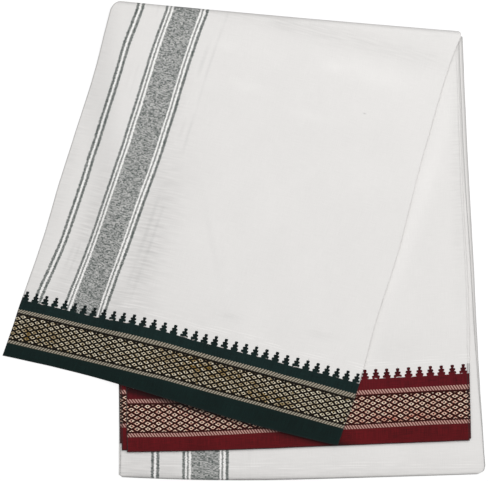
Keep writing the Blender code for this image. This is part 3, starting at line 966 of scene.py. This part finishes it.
def make_leaves(name, patch, leaves, top, pitch, thickness, material):
    """A piece of cloth of one or more leaves, from its top height down."""
    radius = thickness / 2
    loops = []
    for number, leaf in enumerate(leaves):
        centre = top - radius - number * pitch
        for angle in RIM_ANGLES:
            pull = radius * (1 - math.sin(angle))
            loops.append((leaf, pull, centre + radius * math.cos(angle)))
        if leaf is not leaves[-1]:
            following = leaves[number + 1]
            sides = [max(pair) for pair in zip(leaf[:4], following[:4])]
            groove = Leaf(*sides, leaf.seed, leaf.lift)
            loops.append((groove, GROOVE_DEPTH, centre - pitch / 2))
    grids = [leaf_spots(patch, *loops[0]), leaf_spots(patch, *loops[-1])]
    rims = []
    for loop in loops[1:-1]:
        spots, places = leaf_spots(patch, *loop)
        rims.append((rim_of(spots), rim_of(places)))
    piece = sew_mesh(name, grids, rims, material)
    print(name, len(piece.data.polygons), "faces")
    return piece

# %% [markdown]
# ## The pieces
# The cloth is cut where the solids are. The border pieces run up past their teeth, so that the
# teeth are drawn in one piece, and the white fields start there.

# %% Showing leaves and hidden leaves of each packet
# The spacing is that of the showing leaf's mesh. The long body's is wider, to keep it light
HIDDEN = 4.5
Packet = namedtuple("Packet", "chart spacing pitch leaf_thickness show hide")
FLUSH = Leaf(0.0, 0.0, 0.0, 0.0, 0.3)
packets = {
    "swung": Packet(
        swung_chart,
        spacing=1.7,
        pitch=0.46,
        leaf_thickness=0.40,
        show=FLUSH,
        hide=[
            Leaf(0.5, 0.6, 0.6, 0.3, 1.9), Leaf(0.2, 0.3, 1.0, 0.3, 3.1), Leaf(0.5, 0.8, 0.5, 0.3, 5.2)
        ],
    ),
    "second": Packet(
        second_chart,
        spacing=1.7,
        pitch=0.50,
        leaf_thickness=0.43,
        show=Leaf(5.2, 1.3, 0.0, 0.0, 0.9),
        hide=[
            Leaf(1.4, 0.0, 1.4, 0.3, 2.2, 7.3),
            Leaf(0.0, 0.4, 7.0, 0.3, 3.7, 7.3),
            Leaf(0.6, 0.1, 7.4, 0.3, 4.4, 7.3),
        ],
    ),
    "body": Packet(
        body_chart,
        spacing=2.1,
        pitch=0.50,
        leaf_thickness=0.43,
        show=Leaf(1.0, 3.4, 0.0, 0.0, 1.3),
        hide=[
            Leaf(1.0, 2.6, 0.3, 0.3, 2.8), Leaf(0.0, 0.0, 0.3, 0.3, 3.3), Leaf(0.3, 0.2, 0.3, 0.3, 4.9)
        ],
    ),
}


def dress(node, packet_name, first, last, ends, cotton, layers_cotton=None):
    packet = packets[packet_name]
    top = packet.chart.path.thickness
    pieces = []
    for kind, leaves, spacing, level, material in (
        ("cloth", [packet.show], packet.spacing, top, cotton),
        ("layers", packet.hide, HIDDEN, top - packet.pitch, layers_cotton or cotton),
    ):
        patch = cut_patch(packet.chart, first, last, spacing, ends)
        stack = (leaves, level, packet.pitch, packet.leaf_thickness)
        piece = make_leaves(f"{node}_{kind}", patch, *stack, material)
        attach(piece, "root")
        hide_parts(node)
        pieces.append(piece)
    return pieces


swung_seam = SWUNG_BASE + TEETH_ROOM
second_seam = SECOND_BASE + TEETH_ROOM
end_of_swung = float(swung.along[-1])
end_of_second = float(second.along[-1])
end_of_body = float(body.along[-1])
green_pieces = dress("green_border", "swung", 0.0, swung_seam, (1, 0), green_cotton)
swung_pieces = dress("top_panel", "swung", swung_seam, end_of_swung, (0, 1), top_cotton)
red_pieces = dress("red_border", "second", 0.0, second_seam, (1, 0), red_cotton)
second_pieces = dress("second_panel", "second", second_seam, end_of_second, (0, 1), second_cotton)
body_pieces = dress("folded_body", "body", 0.0, end_of_body, (1, 1), body_cotton, rims_painted_shade_cotton)

WIDTH = 0.256
BODY_WIDTH = 0.264
sheets = [
    (green_pieces, (WIDTH, swung_seam * MM), "laid", ["top_panel_cloth"]),
    (swung_pieces, (WIDTH, (end_of_swung - swung_seam) * MM), "folded", ["second_panel_cloth"]),
    (red_pieces, (WIDTH, second_seam * MM), "laid", ["folded_body_cloth"]),
    (second_pieces, (WIDTH, (end_of_second - second_seam) * MM), "folded", ["folded_body_cloth"]),
    (body_pieces, (BODY_WIDTH, end_of_body * MM), "folded", []),
]
for (cloth, layers), flat, held, rests_on in sheets:
    print(cloth.name, "cut", np.round(flat, 3), "m")

# %% [markdown]
# ## Table and light
# The picture is a cut-out on white. A pale table that glows where the camera sees it reads as that
# white, and it lights the cloth only a little, so folded edges keep their thin dark line, which the
# cottons also paint in as shade. The room is bright overhead and dim at the sides, and a large lamp
# hangs near the upper right corner.

# %% Table
table_mesh = bpy.data.meshes.new("table_top")
TABLE_SIZE = 3.0
TABLE_LEVEL = -0.2 * MM
signs = [(-1, -1), (1, -1), (1, 1), (-1, 1)]
corners = [(x * TABLE_SIZE, y * TABLE_SIZE, TABLE_LEVEL) for x, y in signs]
table_mesh.from_pydata(corners, [], [(0, 1, 2, 3)])
table_top = bpy.data.objects.new("table_top", table_mesh)
bpy.context.scene.collection.objects.link(table_top)
table_paper = bpy.data.materials.new("white_paper")
table_paper.use_nodes = True
paper = table_paper.node_tree.nodes["Principled BSDF"]
paper.inputs["Base Color"].default_value = (0.25, 0.25, 0.25, 1)
paper.inputs["Roughness"].default_value = 1.0
paper.inputs["Specular IOR Level"].default_value = 0.0
paper.inputs["Emission Color"].default_value = (1, 1, 1, 1)
seen = add_node(table_paper.node_tree, "ShaderNodeLightPath").outputs["Is Camera Ray"]
glow = sums(table_paper.node_tree, "MULTIPLY_ADD", seen, 0.7, 0.15)
feed(table_paper.node_tree, paper.inputs["Emission Strength"], glow)
table_mesh.materials.append(table_paper)

# %% Light
sky = bpy.data.worlds.new("soft_room")
sky.use_nodes = True
room = sky.node_tree
ways = add_node(room, "ShaderNodeTexCoord").outputs["Generated"]
height = add_node(room, "ShaderNodeSeparateXYZ", {"Vector": ways}).outputs["Z"]
overhead = sums(room, "MULTIPLY", height, height)
above = sums(room, "GREATER_THAN", height, 0.0)
overhead = sums(room, "MULTIPLY", overhead, above)
feed(room, room.nodes["Background"].inputs["Strength"], sums(room, "MULTIPLY_ADD", overhead, 1.2, 0.05))
room.nodes["Background"].inputs["Color"].default_value = (1, 1, 1, 1)
bpy.context.scene.world = sky
LAMP_DISTANCE = 1.0
LAMP_TURN = math.radians(48)
LAMP_RISE = math.radians(66)
lamp_data = bpy.data.lights.new("upper_right_lamp", "AREA")
lamp_data.size = 0.7
lamp_data.energy = 4.0
lamp = bpy.data.objects.new("upper_right_lamp", lamp_data)
flat_reach = LAMP_DISTANCE * math.cos(LAMP_RISE)
lamp.location = (
    flat_reach * math.cos(LAMP_TURN),
    flat_reach * math.sin(LAMP_TURN),
    LAMP_DISTANCE * math.sin(LAMP_RISE),
)
lamp.rotation_euler = lamp.location.to_track_quat("Z", "Y").to_euler()
bpy.context.scene.collection.objects.link(lamp)
print("lamp at", [round(value, 2) for value in lamp.location])
